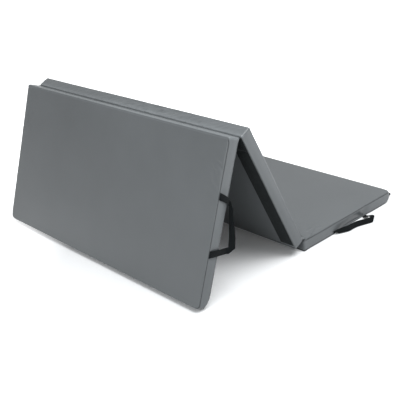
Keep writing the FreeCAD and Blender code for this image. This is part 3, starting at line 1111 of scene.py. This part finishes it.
# %% The frame of a swinging piece
def swing_frame(node, along):
    """The matrix from a flat piece's frame to the mat's, for a piece that swings about a line."""
    mesh = frame["nodes"][node].data
    middle = sum((vert.co for vert in mesh.vertices), Vector()) / len(mesh.vertices)
    pivot = Vector(JOINTS[node + "_swing"]["pos_m"])
    out = middle - pivot
    out = (out - along * out.dot(along)).normalized()
    axes = Matrix((along, out, along.cross(out))).transposed().to_4x4()
    place = Matrix.Translation(pivot) @ axes
    corners = [place.inverted() @ vert.co for vert in mesh.vertices]
    half = max(corner.x for corner in corners)
    reach = max(corner.y for corner in corners)
    return place, half, reach


def bend_all(bm, bend):
    """Move every vertex of a flat piece to where bend(place) says."""
    for vert in bm.verts:
        vert.co = bend(vert.co.copy())


# %% Webbing folded to a U
WEBBING_WIDTH = 0.025
WEBBING_PLY = 0.0014
UPPER_PLY = 0.7 * WEBBING_PLY
CORNER_CUT = 0.021
ROOT_TUCK = 0.001
EDGE_MARGIN = 0.003
ROOT_STITCHES = (0.006, 0.010)


def cut_cornered(half, reach, cut):
    """An outline from one root, round two cut corners, to the other root."""
    return [(half, -ROOT_TUCK), (half, reach - cut), (half - cut, reach),
            (cut - half, reach), (-half, reach - cut), (-half, -ROOT_TUCK)]


def handle_meshes(half, reach, outward):
    """The flat U with a second ply over each folded corner, and its stitches."""
    inner, grip = half - WEBBING_WIDTH, reach - WEBBING_WIDTH
    outline = cut_cornered(half, reach, CORNER_CUT)
    outline += [(-inner, -ROOT_TUCK), (-inner, grip), (inner, grip), (inner, -ROOT_TUCK)]
    cuts = evenly(-half, half, 0.008), evenly(0, reach, 0.006)
    bm = tape(outline, WEBBING_PLY, *cuts)
    bmesh.ops.translate(bm, vec=(0, 0, -WEBBING_PLY / 2), verts=bm.verts)
    thread = bmesh.new()
    up = Vector((0, 0, outward))
    for side in (-1, 1):
        bend_point = half - CORNER_CUT / 2, reach - CORNER_CUT / 2
        corner = [(inner, grip - 0.002), (half, grip - 0.002), (half, reach - CORNER_CUT), bend_point]
        ply = tape([(side * x, y) for x, y in corner], UPPER_PLY, *cuts)
        surface = WEBBING_PLY / 2 + UPPER_PLY
        low = WEBBING_PLY / 2 if outward > 0 else -surface
        bmesh.ops.translate(ply, vec=(0, 0, low), verts=ply.verts)
        join_into(bm, ply)
        height = outward * surface
        ends = [(inner + 0.004, grip), (half - EDGE_MARGIN, grip), (inner + 0.002, reach - EDGE_MARGIN)]
        spots = [Vector((side * x, y, height)) for x, y in ends]
        for k, spot in enumerate(spots):
            stitch_row(thread, spot, spots[(k + 1) % 3], up)
        for y in ROOT_STITCHES:
            across = inner + EDGE_MARGIN, half - EDGE_MARGIN
            row = [Vector((side * x, y, outward * WEBBING_PLY / 2)) for x in across]
            stitch_row(thread, *row, up)
    return bm, thread


def flatten_as_it_swings(piece):
    """Give a piece a fresh copy of its mesh; its shape is left as it is."""
    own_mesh(piece)


# %% Sew one handle
def carrying_handle(node, number, side, bend):
    """One handle and its stitches; bend says how the flat webbing hangs or lies."""
    along = (PLACES[number].to_3x3() @ Vector((1, 0, 0))).normalized()
    place, half, reach = swing_frame(node, along)
    up = place.to_3x3() @ Vector((0, 0, 1))
    shows = Vector((0, side, 0)) if number == 1 else Vector((0, 0, 1))
    outward = 1 if up.dot(shows) > 0 else -1
    webbing, thread = handle_meshes(half, reach, outward)
    inner, grip = half - WEBBING_WIDTH, reach - WEBBING_WIDTH
    map_weave(webbing, lambda co: co.y - grip > max(0, abs(co.x) - inner))
    map_weave(thread)
    for bm in (webbing, thread):
        bend_all(bm, lambda co: bend(co, half, reach, outward))
    strap = new_piece(node + "_webbing", webbing, place, WEBBING, node)
    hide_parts(node)
    stitches = new_piece(node + "_thread", thread, place, THREAD, node)
    if number == 3:
        for piece in (strap, stitches):
            flatten_as_it_swings(piece)


# %% How each pair of handles lies
GRIP_TURN = math.radians(43)
GRIP_RISE = 0.021
GRIP_LEAN = 0.010
GRIP_SHIFT = 0.010


def hang(co, half, reach, outward):
    """Panel 1's legs draw together, and the grip hangs plumb with its face turned outwards."""
    grip = reach - WEBBING_WIDTH
    upper = ease((co.x + half) / (2 * half))
    out = max(0.0, co.y / reach)
    rim = 0.5 * WEBBING_WIDTH
    if co.y > grip:
        across = co.y - grip - rim
        co.y = grip + rim + across * math.cos(GRIP_TURN)
        turn = across * math.sin(GRIP_TURN)
    else:
        turn = -rim * math.sin(GRIP_TURN) * ease(co.y / grip)
    co.x *= 1.02 - (0.16 + 0.16 * upper) * out
    co.y *= 1.06 - 0.46 * upper * ease(out)
    co.z += outward * (turn + 0.003 * math.sin(math.pi * out))
    return co


def lie(co, half, reach, outward):
    """Panel 3's grips stand on edge on the floor, one end far out and the other tucked in."""
    along = co.x / half
    outer = 0.010 + 0.023 * ease((along + 1) / 0.7) + 0.028 * ease((along + 0.1) / 1.1)
    rise = GRIP_RISE * (1 - 0.5 * ease((-0.5 - along) / 0.5))
    grip = reach - WEBBING_WIDTH
    if co.y > grip:
        inward = (reach - co.y) / WEBBING_WIDTH
        co.x = 0.94 * co.x - GRIP_SHIFT
        co.y = outer - GRIP_LEAN * inward
        co.z += outward * rise * inward
    else:
        out = max(0.0, co.y / grip)
        co.x = (1 - 0.06 * out) * co.x - GRIP_SHIFT * out
        co.y = (outer - GRIP_LEAN) * out + min(0.0, co.y)
        co.z += outward * rise * ease(out)
    return co


for name, side in NEAR_AND_FAR:
    carrying_handle(f"handle_1_{name}", 1, side, hang)
    carrying_handle(f"handle_3_{name}", 3, side, lie)

# %% [markdown]
# ## The end flap
#
# A hook-and-loop flap lies on the floor along panel 3's free end. When the mat is joined to another
# one, or folded up, the flap grips the loop strip under panel 1. Its near corner curls up a little.

# %% Flap with a curled corner
FLAP_THICKNESS = 0.0018
FLAP_CUT = 0.008
FLAP_CURL = 0.011
CURL_REACH = 0.10
FLAP_WAVE = 0.0010


def flap_curl(co, half, reach):
    """The flap's outer edge ripples a little and its near corner curls up."""
    out = max(0.0, co.y / reach)
    curl = ease((co.x - half + CURL_REACH) / CURL_REACH) * out
    wave = 0.5 + 0.5 * noise.noise(Vector((co.x / 0.09, co.y / 0.05, 3)))
    co.z += FLAP_CURL * curl + FLAP_WAVE * out * wave
    return co


def end_flap():
    place, half, reach = swing_frame("end_flap", Vector((0, -1, 0)))
    outline = cut_cornered(half, reach, FLAP_CUT)
    bm = tape(outline, FLAP_THICKNESS, evenly(-half, half, 0.01), evenly(0, reach, 0.008))
    bmesh.ops.translate(bm, vec=(0, 0, -FLAP_THICKNESS / 2), verts=bm.verts)
    thread = bmesh.new()
    side, outer = half - STRIP_HEM, reach - STRIP_HEM - 0.004
    stitch_round(thread, -side, side, STRIP_HEM, outer, FLAP_THICKNESS / 2, Vector((0, 0, 1)))
    for part in (bm, thread):
        map_weave(part)
        bend_all(part, lambda co: flap_curl(co, half, reach))
    flap = new_piece("end_flap_tape", bm, place, PILE, "end_flap")
    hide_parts("end_flap")
    stitches = new_piece("end_flap_thread", thread, place, THREAD, "end_flap")
    for piece in (flap, stitches):
        flatten_as_it_swings(piece)


end_flap()

# %% Make the stitches of the panels
for number, thread in THREADS.items():
    map_weave(thread)
    stitches = new_piece(f"panel_{number}_thread", thread, PLACES[number], THREAD, f"panel_{number}")
